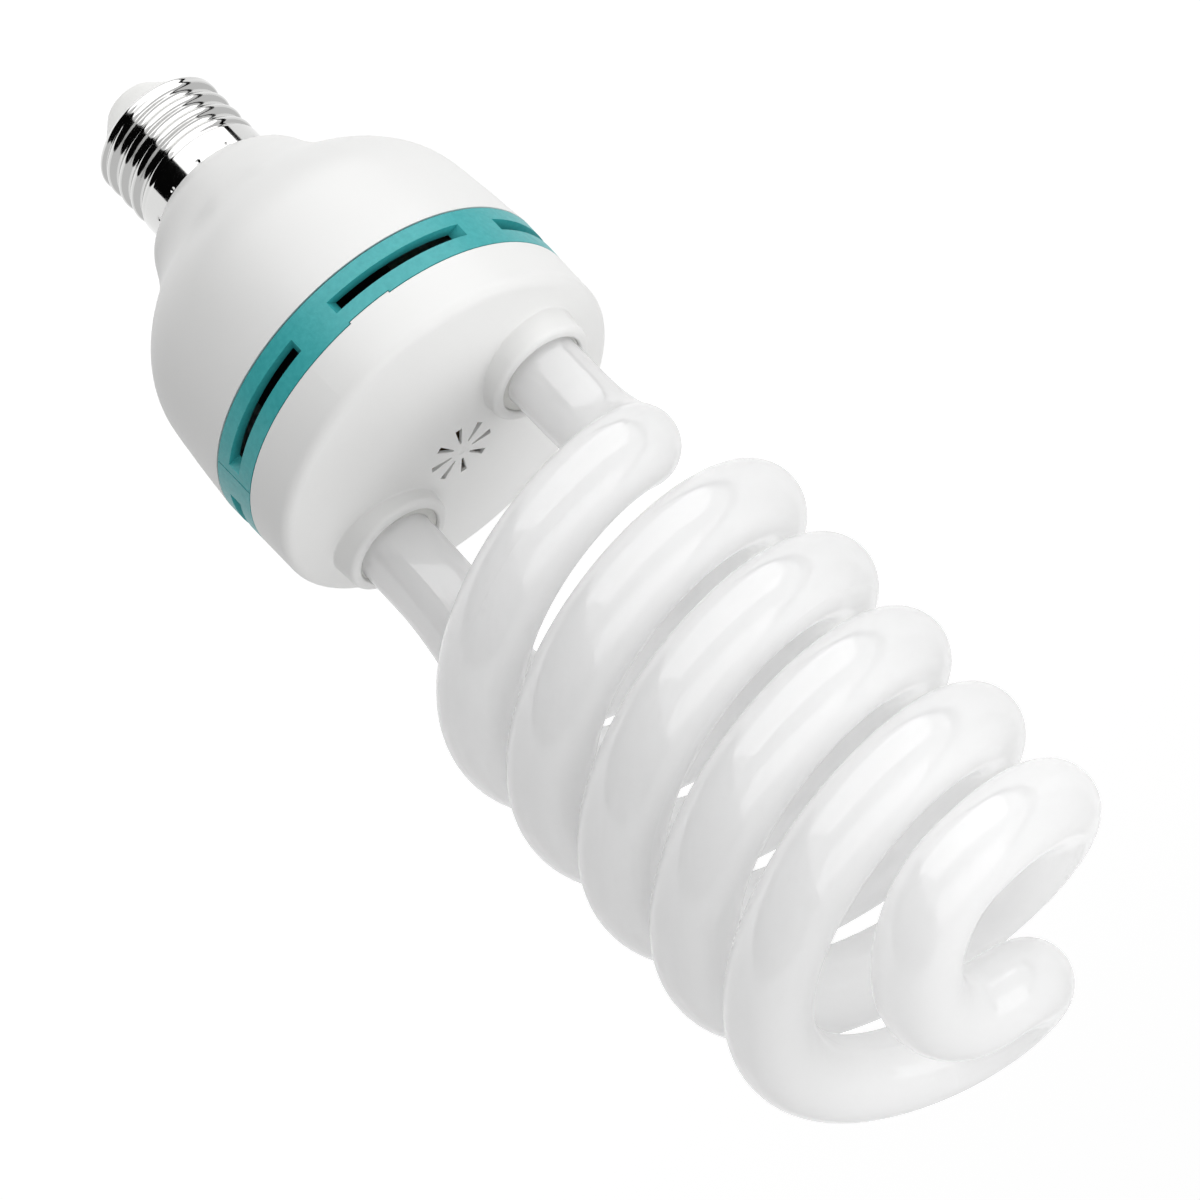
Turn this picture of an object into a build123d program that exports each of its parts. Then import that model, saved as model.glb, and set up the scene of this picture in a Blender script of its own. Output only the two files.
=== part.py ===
from build123d import *
from math import cos, pi, radians, sin, tan
import os

# Spiral fluorescent studio lamp on a 27 mm screw cap, in millimetres.
# The origin is the middle of the end contact, and +Z runs up the lamp's axis to the tip of the spiral.
# The two legs of the glass tube leave the housing on +X and -X.

# Screw cap
contact_diameter = 7.6
contact_height = 0.4
contact_edge = 0.3
rivet_diameter = 3.0
insulator_height = 7.6
insulator_end_diameter = 11.2
insulator_wall = 1.8
insulator_edge = 1.2
flange_clearance = 0.55
flange_height = 1.2
shell_diameter = 26.4
shell_length = 19.5
shell_wall = 0.35
shell_lip = 1.5
shell_edge = 1.0
thread_depth = 1.1
plain_length = 4.9
cap_clearance = 0.1

# Upper housing: stations of its outline, with heights above the screw shell and angles from the axis
housing_wall = 2.0
neck_wall = 1.8
neck_diameter = 27.2
neck_angle = 46.0
flare_diameter = 33.0
flare_height = 2.6
flare_angle = 46.0
shoulder_diameter = 36.8
shoulder_height = 5.6
shoulder_angle = 22.0
flank_diameter = 52.4
flank_height = 16.1
flank_angle = 48.0
dome_diameter = 69.8
dome_height = 31.1
dome_angle = 6.5
rim_angle = 4.0
housing_diameter = 72.9
upper_height = 48.55

# Vent ring between the two housings
ring_height = 9.7
ring_depth = 3.4
rim_gap = 0.4
seam_gap = 0.2
lap_length = 3.0
lap_clearance = 0.15
draft_angle = 1.25
slot_count = 6
slot_sweep = 46.0
slot_flare = 3.3
slot_height = 2.9
slot_turn = 51.7
relief_wall = 2.2
relief_height = 5.5
key_count = 3
key_sweep = 13.5
key_height = 0.4
key_play = 0.3
key_turn = 67.0
joint_turn = 137.7
joint_width = 0.25
joint_depth = 0.3

# Lower housing
lower_height = 13.65
crown_radius = 172.0
face_edge_radius = 2.2
collar_height = 2.8
collar_wall = 2.1
collar_draft = 3.5
collar_edge = 1.1
bore_edge = 0.5
collar_foot = 0.3
collar_clearance = 1.0
collar_inset = 0.6
vent_count = 8
vent_turn = 12.0
vent_inner_radius = 2.3
vent_outer_radius = 6.5
vent_inner_width = 0.4
vent_outer_width = 1.4
vent_web = 0.6
vent_margin = 1.0
dimple_diameter = 1.8
dimple_depth = 0.25
post_diameter = 5.0
post_pin_diameter = 2.2
post_edge = 2.3
post_angles = (39.0, 141.0, 227.0, 313.0)

# Glass tube
tube_diameter = 15.1
leg_offset = 20.65
leg_depth = 7.2
leg_edge = 2.0
leg_straight = 11.4
blend_out = 21.1
blend_in = 19.8
spiral_radius = 30.84
spiral_pitch = 38.72
spiral_turns = 2.494
spiral_start_angle = 54.2
spiral_start_height = 36.14
bridge_bulge = 13.3
bridge_rise = 10.0

# Cement between the legs and their collars
cement_depth = 1.6
cement_recess = 0.7
cement_clearance = 0.05

# Ballast board and the pieces on it
board_clearance = 2.75
board_thickness = 1.6
board_depth = 9.8
pin_diameter = 0.8
pin_tail = 1.2
pin_clearance = 0.15
bulk_diameter = 16.0
bulk_height = 32.0
bulk_groove = 0.6
bulk_x = 8.8
bulk_y = 14.6
core_width = 22.0
core_height = 20.0
core_depth = 6.5
core_leg = 6.5
core_yoke = 3.2
bobbin_wall = 0.8
bobbin_clearance = 0.15
bobbin_reach = 8.2
rail_width = 2.4
winding_margin = 0.5
choke_y = -7.5
drum_diameter = 8.0
drum_height = 11.0
drum_flange = 1.5
drum_waist_diameter = 4.0
drum_y = -21.4
toroid_diameter = 8.0
toroid_bore = 3.8
toroid_height = 4.0
toroid_x = -20.3
toroid_y = 7.6
turn_count = 3
turn_wire_diameter = 0.7
transistor_width = 10.0
transistor_height = 15.4
transistor_body_height = 9.0
transistor_body_depth = 4.4
transistor_tab = 1.3
transistor_hole = 3.6
transistor_lift = 3.5
transistor_pin_pitch = 2.54
transistor_x = 16.1
transistor_y = -10.0
sink_width = 12.0
sink_height = 22.0
sink_thickness = 1.5
film_width = 9.0
film_depth = 4.0
film_height = 9.0
film_edge = 0.8
film_pin_pitch = 6.6
film_places = ((19.6, 8.6, 63.0), (10.2, -20.6, 27.0), (-10.2, -20.6, -27.0))
bridge_width = 6.4
bridge_depth = 4.0
bridge_height = 3.0
bridge_y = 24.3
fuse_diameter = 3.0
fuse_length = 8.5
fuse_pitch = 14.0
fuse_y = 3.6
wire_diameter = 1.6
wire_x = 1.4
wire_y = 7.4
wire_bend_height = 50.0
lead_diameter = 0.6
lead_spread = 2.0

# Heights of the main joints, worked up from the end contact
insulator_low = contact_height
shell_low = insulator_low + insulator_height
shell_top = shell_low + shell_length
ring_low = shell_top + upper_height
ring_top = ring_low + ring_height
face_height = ring_top + lower_height
flange_top = shell_low + shell_wall + cap_clearance + flange_height
neck_low = flange_top + cap_clearance
plain_low = shell_top - plain_length
board_top = face_height - board_depth
board_low = board_top - board_thickness

# Radii that neighbours share
shell_inner = shell_diameter / 2 - shell_wall
neck_outer = shell_inner - cap_clearance
neck_core = neck_outer - thread_depth
neck_inner = neck_core - neck_wall
tube_radius = tube_diameter / 2
collar_bore = tube_radius + collar_clearance
collar_outer = collar_bore + collar_wall
collar_offset = leg_offset - collar_inset
board_radius = housing_diameter / 2 - ring_depth - board_clearance
post_radius = board_radius - post_edge


def turned(*edges):
    """Solid of revolution about the lamp's axis of an outline drawn as radius and height."""
    return revolve(Plane.XZ * make_face(edges), Axis.Z)


def ring_of(inner, outer, low, high):
    """Plain ring about the lamp's axis."""
    return turned(Polyline((inner, low), (outer, low), (outer, high), (inner, high), close=True))


def skirt_radius(height):
    """Outer radius of the vent ring and the lower housing, which share one draft."""
    return housing_diameter / 2 - (height - ring_low) * tan(radians(draft_angle))


def make_centre_contact():
    """Domed end contact with the rivet that holds it to the insulator."""
    radius = contact_diameter / 2
    rivet = rivet_diameter / 2 - cap_clearance
    rivet_top = insulator_low + insulator_wall + cap_clearance
    head = turned(
        Line((0, 0), (radius - contact_edge, 0)),
        RadiusArc((radius - contact_edge, 0), (radius, contact_edge), -contact_edge),
        Polyline((radius, contact_edge), (radius, contact_height), (0, contact_height), (0, 0)),
    )
    return head + ring_of(0, rivet, contact_height, rivet_top)


def make_base_insulator():
    """Hollow white cone with a flange that the curled end of the screw shell traps."""
    mouth = shell_diameter / 2 - shell_lip - cap_clearance
    end = insulator_end_diameter / 2
    flange = shell_inner - flange_clearance
    flange_low = shell_low + shell_wall + cap_clearance
    outside = turned(
        Polyline(
            (0, insulator_low),
            (end, insulator_low),
            (mouth, shell_low),
            (mouth, flange_low),
            (flange, flange_low),
            (flange, flange_top),
            (0, flange_top),
            close=True,
        )
    )
    end_rim = outside.edges().filter_by(GeomType.CIRCLE).group_by(Axis.Z)[0]
    outside = fillet(end_rim, insulator_edge)
    floor = insulator_low + insulator_wall
    hollow = turned(
        Polyline(
            (0, floor),
            (end - insulator_wall / 2, floor),
            (mouth - insulator_wall, shell_low),
            (mouth - insulator_wall, flange_top),
            (0, flange_top),
            close=True,
        )
    )
    return outside - hollow - ring_of(0, rivet_diameter / 2, 0, floor)


def make_screw_shell():
    """Thin drawn shell at the crest diameter of its thread, with its end curled in over the insulator."""
    radius = shell_diameter / 2
    lip = radius - shell_lip
    inner_edge = shell_edge - shell_wall
    return turned(
        Line((lip, shell_low), (radius - shell_edge, shell_low)),
        RadiusArc((radius - shell_edge, shell_low), (radius, shell_low + shell_edge), -shell_edge),
        Polyline((radius, shell_low + shell_edge), (radius, shell_top), (shell_inner, shell_top)),
        Line((shell_inner, shell_top), (shell_inner, shell_low + shell_edge)),
        RadiusArc(
            (shell_inner, shell_low + shell_edge),
            (shell_inner - inner_edge, shell_low + shell_wall),
            inner_edge,
        ),
        Polyline((shell_inner - inner_edge, shell_low + shell_wall), (lip, shell_low + shell_wall), (lip, shell_low)),
    )


def upper_outline(inset):
    """Outline of the upper housing from neck to rim, moved in square to itself by the inset."""
    stations = [
        (neck_diameter / 2, shell_top, neck_angle),
        (flare_diameter / 2, shell_top + flare_height, flare_angle),
        (shoulder_diameter / 2, shell_top + shoulder_height, shoulder_angle),
        (flank_diameter / 2, shell_top + flank_height, flank_angle),
        (dome_diameter / 2, shell_top + dome_height, dome_angle),
        (housing_diameter / 2, ring_low, rim_angle),
    ]
    points = []
    tangents = []
    for radius, height, angle in stations:
        across = sin(radians(angle))
        along = cos(radians(angle))
        points.append((radius - inset * along, height + inset * across))
        tangents.append((across, along))
    return Spline(*points, tangents=tangents)


def make_upper_housing():
    """Moulded shell: shoulder, waist and dome, open at the vent ring, with a bored neck in the screw cap."""
    outline = upper_outline(0)
    inner_outline = upper_outline(housing_wall)
    solid = turned(
        outline,
        Polyline(outline @ 1, (0, ring_low), (0, shell_top), outline @ 0),
    )
    cavity_top = inner_outline @ 1
    cavity_low = inner_outline @ 0
    cavity = turned(
        inner_outline,
        Polyline(cavity_top, (0, cavity_top.Y), (0, cavity_low.Y), cavity_low),
    )
    # The neck fills the shell's plain end and is thinner where the thread is pressed in
    neck = ring_of(0, neck_outer, plain_low, shell_top) + ring_of(0, neck_core, neck_low, plain_low)
    bore = ring_of(0, neck_inner, neck_low, cavity_low.Y)
    notch_height = wire_diameter + 4 * pin_clearance
    notch = Pos(-neck_outer, 0, neck_low) * Box(
        4 * neck_wall, wire_diameter + 2 * pin_clearance, 2 * notch_height
    )
    return solid + neck - cavity - bore - notch


def make_vent_ring():
    """Band flush with the housings, lapped into both, thinned inside where arc slots cut through it."""
    inner = housing_diameter / 2 - ring_depth
    low_lap = housing_diameter / 2 - housing_wall - lap_length * tan(radians(rim_angle)) - lap_clearance
    top_lap = skirt_radius(ring_top + lap_length) - housing_wall - lap_clearance
    band_low = ring_low + rim_gap
    band_top = ring_top - seam_gap
    ring = turned(
        Polyline(
            (inner, ring_low - lap_length),
            (low_lap, ring_low - lap_length),
            (low_lap, band_low),
            (skirt_radius(band_low), band_low),
            (skirt_radius(band_top), band_top),
            (top_lap, band_top),
            (top_lap, ring_top + lap_length),
            (inner, ring_top + lap_length),
            close=True,
        )
    )
    middle = (ring_low + ring_top) / 2
    relief_low = middle - relief_height / 2
    ring -= ring_of(inner - 1, skirt_radius(middle) - relief_wall, relief_low, relief_low + relief_height)
    for turn in range(slot_count):
        ring -= Rot(0, 0, slot_turn + turn * 360 / slot_count) * Pos(0, 0, middle) * slot_block()
    for turn in range(key_count):
        ring -= Rot(0, 0, key_turn + turn * 360 / key_count) * key_block(seam_gap, key_sweep + 2 * key_play)
    groove = Pos(skirt_radius(middle), 0, middle) * Box(2 * joint_depth, joint_width, ring_height)
    for side in (0, 180):
        ring -= Rot(0, 0, joint_turn + side) * groove
    return ring


def slot_block():
    """Arc slot through the band, whose ends close in towards the inside."""
    outer = housing_diameter / 2
    arcs = []
    for radius in (outer + 1, outer - ring_depth - 1):
        half = slot_sweep / 2 + slot_flare * (radius - outer) / ring_depth
        arcs.append([on_spiral(radius, angle, 0) for angle in (-half, 0, half)])
    wide, narrow = arcs
    outline = [
        ThreePointArc(*wide),
        Line(wide[2], narrow[2]),
        ThreePointArc(*narrow),
        Line(narrow[0], wide[0]),
    ]
    return extrude(make_face(outline), slot_height / 2, both=True)


def key_block(gap, sweep):
    """Locating key on the rim of the lower housing, or its notch when a gap is given."""
    low = ring_top - key_height - gap
    outer = skirt_radius(ring_top)
    inner = skirt_radius(ring_top + lap_length) - housing_wall
    depth = outer - inner + 2 * gap
    outline = Plane.XZ * Pos((inner + outer) / 2, (low + ring_top) / 2) * Rectangle(depth, ring_top - low)
    return Rot(0, 0, -sweep / 2) * revolve(outline, Axis.Z, revolution_arc=sweep)


def crown_height(radius, inset=0):
    """Height of the crowned face at a radius from the axis, or of its inside at an inset."""
    return face_height - crown_radius + ((crown_radius - inset) ** 2 - radius**2) ** 0.5


def crowned_body(inset):
    """Drafted drum closed by the crowned face, moved in square to itself by the inset."""
    corner_height = face_height
    for _ in range(8):
        corner = skirt_radius(corner_height) - inset
        corner_height = crown_height(corner, inset)
    top = (0, crown_height(0, inset))
    # The seam of the turned surface lies square to the legs, clear of both collars
    return Rot(0, 0, 90) * turned(
        Polyline(top, (0, ring_top), (skirt_radius(ring_top) - inset, ring_top), (corner, corner_height)),
        ThreePointArc((corner, corner_height), (corner / 2, crown_height(corner / 2, inset)), top),
    )


def collar_outline():
    """Half section of a leg collar, as radius from its axis and height above the middle of the face."""
    spread = tan(radians(collar_draft))
    low = crown_height(collar_offset + collar_outer) - face_height - housing_wall / 2
    shoulder = collar_height - collar_edge
    return make_face(
        [
            Polyline(
                (collar_bore, collar_height - bore_edge),
                (collar_bore, low),
                (collar_outer + (shoulder - low) * spread, low),
                (collar_outer, shoulder),
            ),
            RadiusArc((collar_outer, shoulder), (collar_outer - collar_edge, collar_height), -collar_edge),
            Line((collar_outer - collar_edge, collar_height), (collar_bore + bore_edge, collar_height)),
            RadiusArc((collar_bore + bore_edge, collar_height), (collar_bore, collar_height - bore_edge), -bore_edge),
        ]
    )


def make_lower_housing():
    """Cup with a crowned face, two leg collars, a star of vents and the posts that carry the board."""
    cup = crowned_body(0)
    rim = cup.edges().filter_by(lambda edge: edge.is_closed).sort_by(Axis.Z)[-1]
    cup = fillet(rim, face_edge_radius)
    collar = Rot(0, 0, 90) * revolve(Plane.XZ * collar_outline(), Axis.Z)
    for place in (collar_offset, -collar_offset):
        cup += Pos(place, 0, face_height) * collar

    def is_foot(edge):
        middle = edge @ 0.5
        across = ((abs(middle.X) - collar_offset) ** 2 + middle.Y**2) ** 0.5
        return across > collar_outer and across < 2 * collar_outer and middle.Z < face_height

    cup = fillet([edge for edge in cup.edges() if is_foot(edge)], collar_foot)
    cup -= crowned_body(housing_wall)
    leg_bore = Cylinder(collar_bore, 4 * collar_height)
    for place in (collar_offset, -collar_offset):
        cup -= Pos(place, 0, face_height) * leg_bore
    pocket_radius = vent_outer_radius + vent_margin
    cup -= ring_of(0, pocket_radius, ring_top, crown_height(pocket_radius) - vent_web)
    half_in = vent_inner_width / 2
    half_out = vent_outer_width / 2
    wedge = Polyline(
        (vent_inner_radius, -half_in),
        (vent_outer_radius, -half_out),
        (vent_outer_radius, half_out),
        (vent_inner_radius, half_in),
        close=True,
    )
    vent = Pos(0, 0, face_height - 2 * housing_wall) * extrude(make_face(wedge), 3 * housing_wall)
    for turn in range(vent_count):
        cup -= Rot(0, 0, vent_turn + turn * 360 / vent_count) * vent
    bowl_radius = (dimple_diameter**2 / 4 + dimple_depth**2) / (2 * dimple_depth)
    cup -= Pos(0, 0, face_height + bowl_radius - dimple_depth) * Sphere(bowl_radius)
    post_top = crown_height(post_radius) - housing_wall / 2
    for x, y in post_places():
        post = Pos(x, y, board_top) * extrude(Circle(post_diameter / 2), post_top - board_top)
        pin_low = board_low - pin_tail
        pin = Pos(x, y, pin_low) * extrude(Circle(post_pin_diameter / 2), board_top - pin_low)
        cup += post
        cup += pin
    for turn in range(key_count):
        cup += Rot(0, 0, key_turn + turn * 360 / key_count) * key_block(0, key_sweep)
    return cup


def post_places():
    """Middles of the four posts that carry the board."""
    return [(post_radius * cos(radians(angle)), post_radius * sin(radians(angle))) for angle in post_angles]


def on_spiral(radius, angle, height):
    """Point at a radius and angle about the lamp's axis."""
    return Vector(radius * cos(radians(angle)), radius * sin(radians(angle)), height)


def make_spiral_tube():
    """One bent glass tube: leg, outward bend, helix and half of the S bridge, then the same turned half round."""
    slope = spiral_pitch / (2 * pi * spiral_radius)
    start_height = face_height + spiral_start_height
    end_angle = spiral_start_angle + 360 * spiral_turns
    end_height = start_height + spiral_pitch * spiral_turns
    leg_low = Vector(leg_offset, 0, face_height - leg_depth)
    leg_high = Vector(leg_offset, 0, face_height + leg_straight)
    start = on_spiral(spiral_radius, spiral_start_angle, start_height)
    heading = on_spiral(1, spiral_start_angle + 90, slope).normalized()
    outward = on_spiral(1, end_angle, 0)
    onward = on_spiral(1, end_angle + 90, 0)

    def bridge_point(out, on, rise):
        return outward * out + onward * on + Vector(0, 0, end_height + rise)

    # The bridge is half an ellipse seen along the axis, and its rise starts at the helix's slope and ends level.
    round_share = 0.5523
    half = spiral_radius / 2
    bulge = bridge_bulge
    start_rate = pi * bulge * slope
    middle_rise = bridge_rise / 2 + start_rate / 8
    middle_step = (1.5 * bridge_rise - start_rate / 4) / 6
    strand = [
        Line(leg_low, leg_high),
        Bezier(leg_high, leg_high + Vector(0, 0, blend_out), start - heading * blend_in, start),
        Rot(0, 0, spiral_start_angle)
        * Helix(spiral_pitch, spiral_pitch * spiral_turns, spiral_radius, center=(0, 0, start_height)),
        Bezier(
            bridge_point(spiral_radius, 0, 0),
            bridge_point(spiral_radius, round_share * bulge, round_share * bulge * slope),
            bridge_point(half + round_share * half, bulge, middle_rise - middle_step),
            bridge_point(half, bulge, middle_rise),
        ),
        Bezier(
            bridge_point(half, bulge, middle_rise),
            bridge_point(half - round_share * half, bulge, middle_rise + middle_step),
            bridge_point(0, round_share * bulge, bridge_rise),
            bridge_point(0, 0, bridge_rise),
        ),
    ]
    path = Wire(strand + [Rot(0, 0, 180) * edge for edge in strand])
    tube = sweep(Pos(*leg_low) * Circle(tube_radius), path=path)
    ends = tube.edges().filter_by(GeomType.CIRCLE).group_by(Axis.Z)[0]
    return fillet(ends, leg_edge)


def make_tube_cement():
    """Silicone that fills the gap between each leg and its collar, a little below the collar's rim."""
    low = face_height - cement_depth
    height = cement_depth + collar_height - cement_recess
    fills = []
    for side in (1, -1):
        plug = Pos(side * collar_offset, 0, low) * extrude(Circle(collar_bore - cement_clearance), height)
        leg = Pos(side * leg_offset, 0, low) * extrude(Circle(tube_radius + cement_clearance), height)
        fills.append(plug - leg)
    return Compound(children=[fill.solid() for fill in fills])


# Board holes are collected as the pieces that need them are placed
board_holes = []


def drill(x, y, diameter):
    """Hole through the board for a pin or wire, with its clearance."""
    radius = diameter / 2 + pin_clearance
    board_holes.append(Pos(x, y, board_low - 1) * extrude(Circle(radius), board_thickness + 2))


def hang(body, x, y, turn=0, pins=()):
    """Turn a body upside down on to the board's lower face, with pins through drilled holes."""
    place = Pos(x, y, board_low) * Rot(0, 0, turn) * Rot(180, 0, 0)
    for pin_x, pin_y in pins:
        hole = place * Pos(pin_x, pin_y, 0)
        drill(hole.position.X, hole.position.Y, pin_diameter)
        body += Pos(pin_x, pin_y, -board_thickness - pin_tail) * extrude(
            Circle(pin_diameter / 2), board_thickness + pin_tail
        )
    return place * body


def make_bulk_capacitor(side):
    """Electrolytic can with a rolled groove above its seal and a rounded far end."""
    radius = bulk_diameter / 2
    groove_height = 3 * bulk_groove
    edge = 2 * bulk_groove
    can = turned(
        Line((0, 0), (radius - bulk_groove, 0)),
        RadiusArc((radius - bulk_groove, 0), (radius, bulk_groove), -bulk_groove),
        Line((radius, bulk_groove), (radius, groove_height)),
        ThreePointArc(
            (radius, groove_height),
            (radius - bulk_groove, groove_height + bulk_groove),
            (radius, groove_height + 2 * bulk_groove),
        ),
        Line((radius, groove_height + 2 * bulk_groove), (radius, bulk_height - edge)),
        RadiusArc((radius, bulk_height - edge), (radius - edge, bulk_height), -edge),
        Polyline((radius - edge, bulk_height), (0, bulk_height), (0, 0)),
    )
    spacing = bulk_diameter / 5
    return hang(can, side * bulk_x, bulk_y, pins=[(-spacing, 0), (spacing, 0)])


def make_choke_core():
    """Pair of ferrite E halves: a frame with a middle leg."""
    window = (core_width - core_leg - 2 * core_yoke) / 2
    window_height = core_height - 2 * core_yoke
    frame = Pos(0, 0, core_height / 2) * Box(core_width, core_depth, core_height)
    for side in (1, -1):
        x = side * (core_leg + window) / 2
        frame -= Pos(x, 0, core_height / 2) * Box(window, core_depth, window_height)
    return hang(frame, 0, choke_y)


def make_choke_bobbin():
    """Moulded former round the middle leg, with two flanges and two pin rails on the board."""
    tube_in = core_leg / 2 + bobbin_clearance
    depth_in = core_depth / 2 + bobbin_clearance
    tube_out = tube_in + bobbin_wall
    depth_out = depth_in + bobbin_wall
    window_height = core_height - 2 * core_yoke
    flange_reach = core_width / 2 - core_yoke - bobbin_clearance
    low = core_yoke + bobbin_clearance
    height = window_height - 2 * bobbin_clearance
    former = Pos(0, 0, low + height / 2) * Box(2 * tube_out, 2 * depth_out, height)
    for z in (low + bobbin_wall / 2, low + height - bobbin_wall / 2):
        former += Pos(0, 0, z) * Box(2 * flange_reach, 2 * bobbin_reach, bobbin_wall)
    former -= Pos(0, 0, low + height / 2) * Box(2 * tube_in, 2 * depth_in, 2 * height)
    rail_y = bobbin_reach - rail_width / 2
    for side in (1, -1):
        former += Pos(0, side * rail_y, low / 2) * Box(2 * flange_reach, rail_width, low)
    pin_x = flange_reach - rail_width / 2
    pins = [(x, y) for x in (-pin_x, pin_x) for y in (-rail_y, rail_y)]
    return hang(former, 0, choke_y, pins=pins)


def make_choke_winding():
    """Wound copper between the bobbin's flanges."""
    tube_out = core_leg / 2 + bobbin_clearance + bobbin_wall
    depth_out = core_depth / 2 + bobbin_clearance + bobbin_wall
    wide = core_width / 2 - core_yoke - bobbin_clearance - winding_margin
    deep = bobbin_reach - winding_margin
    low = core_yoke + bobbin_clearance + bobbin_wall
    height = core_height - 2 * low
    outside = Pos(0, 0, low) * extrude(RectangleRounded(2 * wide, 2 * deep, wide - tube_out), height)
    inside = Pos(0, 0, low) * extrude(Rectangle(2 * tube_out, 2 * depth_out), height)
    return hang(outside - inside, 0, choke_y)


def make_filter_core():
    """Ferrite drum: two flanges on a waist."""
    radius = drum_diameter / 2
    waist = drum_waist_diameter / 2
    drum = turned(
        Polyline(
            (0, 0),
            (radius, 0),
            (radius, drum_flange),
            (waist, drum_flange),
            (waist, drum_height - drum_flange),
            (radius, drum_height - drum_flange),
            (radius, drum_height),
            (0, drum_height),
            close=True,
        )
    )
    pin_x = (radius + waist) / 2
    return hang(drum, 0, drum_y, pins=[(-pin_x, 0), (pin_x, 0)])


def make_filter_winding():
    """Wound copper between the drum's flanges."""
    coil = ring_of(
        drum_waist_diameter / 2, drum_diameter / 2 - winding_margin, drum_flange, drum_height - drum_flange
    )
    return hang(coil, 0, drum_y)


def make_toroid_core():
    """Small ferrite ring flat on the board."""
    ring = ring_of(toroid_bore / 2, toroid_diameter / 2, 0, toroid_height)
    return hang(ring, toroid_x, toroid_y)


def make_toroid_winding():
    """Wire turns that strap the ring to the board, each through two holes."""
    gap = pin_clearance + turn_wire_diameter / 2
    inner = toroid_bore / 2 - gap
    outer = toroid_diameter / 2 + gap
    top = toroid_height + gap
    low = -board_thickness - pin_tail
    turns = []
    for index in range(turn_count):
        angle = index * 360 / turn_count + 90
        route = FilletPolyline(
            (inner, 0, low), (inner, 0, top), (outer, 0, top), (outer, 0, low), radius=turn_wire_diameter
        )
        wire = sweep(Pos(inner, 0, low) * Circle(turn_wire_diameter / 2), path=route)
        for radius in (inner, outer):
            # Hanging turns the winding over, so its holes lie at the mirrored angle
            hole = on_spiral(radius, -angle, 0)
            drill(toroid_x + hole.X, toroid_y + hole.Y, turn_wire_diameter)
        turns.append(hang(Rot(0, 0, angle) * wire, toroid_x, toroid_y))
    return Compound(children=[turn.solid() for turn in turns])


def make_power_transistor(side):
    """Tab package standing on three pins, its tab flat on the heat sink."""
    width = transistor_width
    low = transistor_lift
    tab_x = transistor_tab / 2
    tab = Pos(tab_x, 0, low + transistor_height / 2) * Box(transistor_tab, width, transistor_height)
    hole_height = low + (transistor_height + transistor_body_height) / 2
    tab -= Pos(tab_x, 0, hole_height) * Rot(0, 90, 0) * Cylinder(transistor_hole / 2, 2 * transistor_tab)
    body_depth = transistor_body_depth - transistor_tab
    body = Pos(transistor_tab + body_depth / 2, 0, low + transistor_body_height / 2) * Box(
        body_depth, width, transistor_body_height
    )
    package = tab + body
    pin_x = transistor_tab + body_depth / 2
    pins = [(pin_x, step * transistor_pin_pitch) for step in (-1, 0, 1)]
    for x, y in pins:
        package += Pos(x, y, 0) * extrude(Circle(pin_diameter / 2), low)
    return hang(package, side * transistor_x, transistor_y, turn=0 if side > 0 else 180, pins=pins)


def make_heat_sink(side):
    """Aluminium plate behind the transistor's tab, standing on the board by two feet."""
    plate = Pos(-sink_thickness / 2, 0, sink_height / 2) * Box(sink_thickness, sink_width, sink_height)
    foot = sink_width / 2 - sink_thickness
    pins = [(-sink_thickness / 2, -foot), (-sink_thickness / 2, foot)]
    return hang(plate, side * transistor_x, transistor_y, turn=0 if side > 0 else 180, pins=pins)


def make_film_capacitor(x, y, turn):
    """Dipped film capacitor: a box with rounded edges on two pins."""
    box = Pos(0, 0, film_height / 2) * Box(film_width, film_depth, film_height)
    upper = box.edges().filter_by(Axis.Z) + box.edges().group_by(Axis.Z)[-1]
    box = fillet(upper, film_edge)
    pins = [(-film_pin_pitch / 2, 0), (film_pin_pitch / 2, 0)]
    return hang(box, x, y, turn, pins)


def make_bridge_rectifier():
    """Flat four pin rectifier block."""
    block = Pos(0, 0, bridge_height / 2) * Box(bridge_width, bridge_depth, bridge_height)
    pin_x = bridge_width / 2 - pin_diameter
    pin_y = bridge_depth / 2 - pin_diameter
    pins = [(x, y) for x in (-pin_x, pin_x) for y in (-pin_y, pin_y)]
    return hang(block, 0, bridge_y, pins=pins)


def make_fuse_resistor():
    """Axial fusible resistor on two bent leads."""
    height = fuse_diameter / 2
    reach = fuse_pitch / 2
    low = -board_thickness - pin_tail
    route = FilletPolyline(
        (-reach, 0, low), (-reach, 0, height), (reach, 0, height), (reach, 0, low), radius=pin_diameter
    )
    lead = sweep(Pos(-reach, 0, low) * Circle(pin_diameter / 2), path=route)
    body = Pos(0, 0, height) * Rot(0, 90, 0) * Cylinder(height, fuse_length)
    drill(-reach, fuse_y, pin_diameter)
    drill(reach, fuse_y, pin_diameter)
    return hang(lead + body, 0, fuse_y)


def make_wire(points, radii):
    """Insulated wire along straight runs joined by arcs."""
    route = FilletPolyline(*points, radius=radii)
    start = Plane(origin=points[0], z_dir=route % 0)
    return sweep(start * Circle(wire_diameter / 2), path=route)


def make_phase_wire():
    """Wire from the contact's rivet up the cap, past the choke and through the board."""
    start = insulator_low + insulator_wall + cap_clearance
    points = [
        (0, 0, start),
        (0, 0, shell_low + shell_length / 3),
        (wire_x, wire_y, wire_bend_height),
        (wire_x, wire_y, board_top + pin_tail),
    ]
    drill(wire_x, wire_y, wire_diameter)
    return make_wire(points, [6 * wire_diameter, 12 * wire_diameter])


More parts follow.
